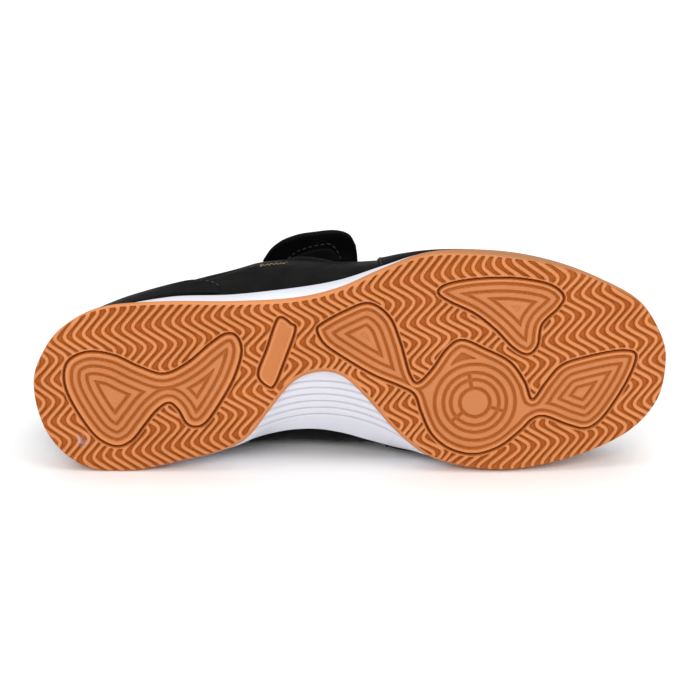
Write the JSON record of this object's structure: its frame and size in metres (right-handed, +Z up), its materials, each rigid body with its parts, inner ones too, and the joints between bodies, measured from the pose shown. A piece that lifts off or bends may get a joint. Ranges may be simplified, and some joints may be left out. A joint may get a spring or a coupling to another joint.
{
  "type": "indoor soccer shoe",
  "caption": "Low indoor soccer shoe for the right foot with a patterned gum sole, white arch wedge and one hook-and-loop strap, lying on its inner side.",
  "frame": {"origin": "on the floor under the middle of the shoe's box, where its sole edge and upper rest", "axes": "+X from heel to toe, -Y out of the sole, +Z up, towards the outer side of the foot"},
  "size_m": [0.228, 0.0886, 0.0827],
  "materials": {
    "gum_rubber": "matt moulded gum rubber with a soft sheen on its ribs",
    "white_foam": "smooth moulded foam with a closed skin",
    "black_synthetic": "black coated synthetic leather, fine grain, low gloss",
    "lining": "black knitted lining",
    "hook_and_loop_tape": "black woven tape with hooks or loops"
  },
  "bodies": {
    "root": {"outsole": "gum_rubber", "midsole": "white_foam", "upper": "black_synthetic", "heel_counter": "black_synthetic", "toe_guard": "black_synthetic", "strap": "black_synthetic", "insole": "lining", "tongue": "lining", "strap_hook_patch": "hook_and_loop_tape", "quarter_loop_patch": "hook_and_loop_tape"}
  },
  "joints": []
}
